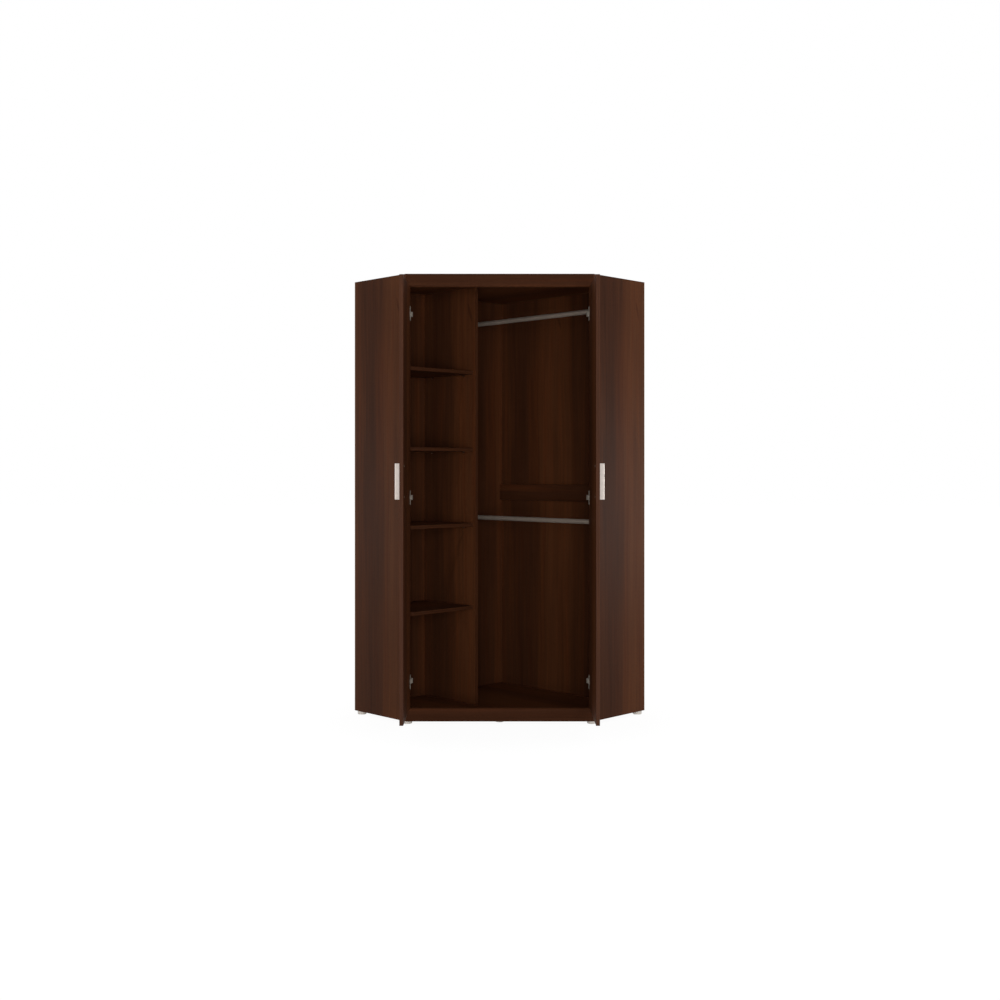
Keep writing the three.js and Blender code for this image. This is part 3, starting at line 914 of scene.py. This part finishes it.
def hinge_places(side, index):
    inward = inwards[side]
    outward_wall, depth_wall = walls[side]
    cup, arm = f"{side}_hinge_cup_{index}", f"{side}_hinge_arm_{index}"
    height = middle(cup, UP)
    flange_face = reach(f"{side}_door", inward) + FLANGE_RISE
    middle_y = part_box(cup)[0].y + CUP_RADIUS
    for step in (-FLANGE_SCREW, FLANGE_SCREW):
        place = at((inward, flange_face), (INTO_CASE, middle_y), (UP, height + step))
        door_places[side].append((place, inward))
    arm_face = reach(arm, -outward_wall)
    arm_front = reach(arm, depth_wall)
    for step in (ARM_FRONT_SCREW, ARM_BACK_SCREW):
        place = at((-outward_wall, arm_face), (depth_wall, arm_front - step), (UP, height))
        case_places.append((place, -outward_wall))


def handle_places(side):
    inward, handle = inwards[side], f"{side}_handle"
    door_face = reach(f"{side}_door", inward)
    for step in (-HANDLE_HOLE_SPACING / 2, HANDLE_HOLE_SPACING / 2):
        height = middle(handle, UP) + step
        place = at((inward, door_face), (INTO_CASE, middle(handle, INTO_CASE)), (UP, height))
        door_places[side].append((place, inward))


print("left door's inner face at x =", round(reach("left_door", ALONG_FRONT), 4))

# %% Places on sockets, and all the screws
SOCKET_FLANGE = 0.003
SOCKET_SCREW = 0.0176
SOCKET_TURNS = [math.radians(turn) for turn in (90, 210, 330)]
SCREW = {"Head Radius": 0.0034, "Head Height": 0.0009, "Slot Width": 0.0008, "Finish": screw_metal}


def socket_places(side, level):
    socket = f"{level}_rail_socket_{side}"
    face_way = -ALONG_RIGHT if side == "right" else ALONG_RIGHT
    flange_face = -reach(socket, -face_way) + SOCKET_FLANGE
    for turn in SOCKET_TURNS:
        across = middle(socket, ALONG_LEFT) + SOCKET_SCREW * math.cos(turn)
        height = middle(socket, UP) + SOCKET_SCREW * math.sin(turn)
        case_places.append((at((face_way, flange_face), (ALONG_LEFT, across), (UP, height)), face_way))


for side in SIDES:
    for index in HINGES:
        hinge_places(side, index)
    handle_places(side)
    for level in LEVELS:
        socket_places(side, level)
grow_heads("case_screws", case_places, screws, SCREW, "case")
for side in SIDES:
    grow_heads(f"{side}_door_screws", door_places[side], screws, SCREW, f"{side}_door")

# %% [markdown]
# ## Nails
# The back sheets are nailed on from behind, through the sheet into the boards that they cover. Rows of
# small flat heads run along every edge that a board backs. Each row is an edge of a mesh, and Geometry
# Nodes spaces the nails along it, so a longer wardrobe gets more nails and not a wider gap.

# %% Back sheet nails
NAIL_SIDES = 12
NAIL_TOP = 0.8
NAIL_INSET = 0.008
CORNER_INSET = 0.02
NAIL = {"Spacing": 0.12, "Head Radius": 0.0028, "Head Height": 0.0004, "Finish": screw_metal}


def nail_tree():
    tree, start, (rows, spacing, radius, height, finish) = fastener_group(
        "nail_heads", ("Spacing", "Head Radius", "Head Height")
    )
    line = start.make("GeometryNodeMeshToCurve", Mesh=rows)
    spaced = start.make("GeometryNodeResampleCurve", settings={"mode": "LENGTH"}, Curve=line, Length=spacing)
    head = head_cone(start, NAIL_SIDES, radius, NAIL_TOP, height)
    set_heads(start, spaced, head, facing_rotation(start), finish)
    return tree


def nail_rows(sheet, across, facing, levels, uprights):
    """The two ends of each row: level rows at these levels, upright ones at these distances."""
    face = reach(sheet, facing)
    ends = [(place, level) for level in levels for place in (from_corner(across, CORNER_INSET), uprights[0])]
    ends += [(place, level) for place in uprights for level in levels[:2]]
    return [(at((facing, face), (across, place), (UP, level)), facing) for place, level in ends]


bottom_and_top = [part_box("bottom_panel")[0].z + NAIL_INSET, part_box("top_panel")[1].z - NAIL_INSET]
seam_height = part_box("right_back_panel_lower")[1].z
seam = [seam_height - NAIL_INSET, seam_height + NAIL_INSET]
left_uprights = [reach("left_back_panel", ALONG_LEFT) - NAIL_INSET, middle("divider", ALONG_LEFT)]
right_uprights = [reach("right_back_panel_lower", ALONG_RIGHT) - NAIL_INSET]
all_rows = nail_rows("left_back_panel", ALONG_LEFT, -ALONG_RIGHT, bottom_and_top, left_uprights)
all_rows += nail_rows(
    "right_back_panel_lower", ALONG_RIGHT, -ALONG_LEFT, bottom_and_top + seam, right_uprights
)
grow_heads("back_sheet_nails", all_rows, nail_tree(), NAIL, "case", rows=True)

# %% [markdown]
# ## Stage
# A plain pale floor under soft light, as in a catalogue picture. For the rays that show the background,
# which come from the camera, off a glossy surface or through glass, the world is plain white. For the
# light on the boards it is dimmer, so that a lamp in front can add the rest and the inside falls darker
# by itself.

# %% World
FILL = 0.6


def background_rays(start):
    """1 for rays that show the background, 0 for those that light a surface."""
    rays = start.node("ShaderNodeLightPath")
    camera_ray, glossy_ray, clear_ray = (
        Socket(start.tree, rays.outputs[f"Is {kind} Ray"]) for kind in ("Camera", "Glossy", "Transmission")
    )
    return (camera_ray + glossy_ray + clear_ray).clamped()


world = bpy.data.worlds.new("studio")
bpy.context.scene.world = world
start = empty_tree(world)
strength = background_rays(start) * (1 - FILL) + FILL
sky = start.make("ShaderNodeBackground", Color=(1, 1, 1, 1), Strength=strength)
start.node("ShaderNodeOutputWorld", Surface=sky)
print("the world lights the boards at", FILL, "of white")

# %% [markdown]
# The lamp in front stands a little to the right. It lights the boards and shows in no reflection. Two
# softboxes at the sides do the opposite: they light nothing and show only in reflections, as a gleam on
# the side panels at about the height of the handles, weaker on the left.

# %% Lamps
KEY = 0.62
KEY_DISTANCE = 6.2
KEY_SIDE = 2.4
KEY_RIGHT = 0.5
KEY_HEIGHT = 0.95
SOFTBOX_SIDE = 1.1
SOFTBOX_AWAY = 3.6
SOFTBOX_Y = -0.1
SOFTBOX_HEIGHT = 0.88


def square_lamp(name, side, energy, location, turn):
    """A square lamp that faces +Y before it is turned about the vertical."""
    data = bpy.data.lights.new(name, "AREA")
    data.shape = "SQUARE"
    data.size = side
    data.energy = energy
    lamp = put_in_scene(name, data)
    lamp.location = location
    lamp.rotation_euler = (QUARTER_TURN, 0, turn)
    lamp.visible_camera = False
    return lamp


# At its distance the key lights a facing board as a white world of strength KEY would.
key_energy = KEY * math.pi ** 2 * KEY_DISTANCE ** 2
key_place = (KEY_RIGHT, FRONT_Y - KEY_DISTANCE, KEY_HEIGHT)
key = square_lamp("key", KEY_SIDE, key_energy, key_place, math.atan2(KEY_RIGHT, KEY_DISTANCE))
key.visible_glossy = False
# A softbox is gleam times as bright as white.
for name, way, gleam in (("left_softbox", -1, 3.4), ("right_softbox", 1, 8.0)):
    energy = gleam * math.pi * SOFTBOX_SIDE ** 2
    place = (way * SOFTBOX_AWAY, SOFTBOX_Y, SOFTBOX_HEIGHT)
    softbox = square_lamp(name, SOFTBOX_SIDE, energy, place, way * QUARTER_TURN)
    softbox.visible_diffuse = False

# %% [markdown]
# A catalogue picture has a white floor with only a trace of shadow. To the background rays the floor
# shines white, with a small share of the real, shaded floor mixed in near the wardrobe. That share fades
# out with the distance from the middle. All other rays meet a pale floor that bounces their light.

# %% Floor
FLOOR_SIDE = 60.0
FLOOR_PAINT = 0.98
FLOOR_WHITE = 1.03
FLOOR_SHADOW = 0.075
SHADOW_START = 0.5
SHADOW_END = 1.4

floor_mesh = bpy.data.meshes.new("floor")
half = FLOOR_SIDE / 2
floor_corners = [(-half, -half, 0), (half, -half, 0), (half, half, 0), (-half, half, 0)]
floor_mesh.from_pydata(floor_corners, [], [(0, 1, 2, 3)])
floor = put_in_scene("floor", floor_mesh)

floor_material = bpy.data.materials.new("floor")
start = empty_tree(floor_material)
diffuse = start.make("ShaderNodeBsdfDiffuse", Color=(FLOOR_PAINT, FLOOR_PAINT, FLOOR_PAINT, 1))
white = start.make("ShaderNodeEmission", Color=(1, 1, 1, 1), Strength=FLOOR_WHITE)
place = start.make("ShaderNodeTexCoord", out="Object")
away = start.make("ShaderNodeVectorMath", out=1, settings={"operation": "LENGTH"}, i0=place)
shadow = (1 - away.band(SHADOW_START, SHADOW_END)) * FLOOR_SHADOW
share = background_rays(start) * (1 - shadow)
mixed = start.make("ShaderNodeMixShader", i0=share, i1=diffuse, i2=white)
start.node("ShaderNodeOutputMaterial", Surface=mixed)
floor_mesh.materials.append(floor_material)
print("the floor's shadow fades out by", SHADOW_END, "m")
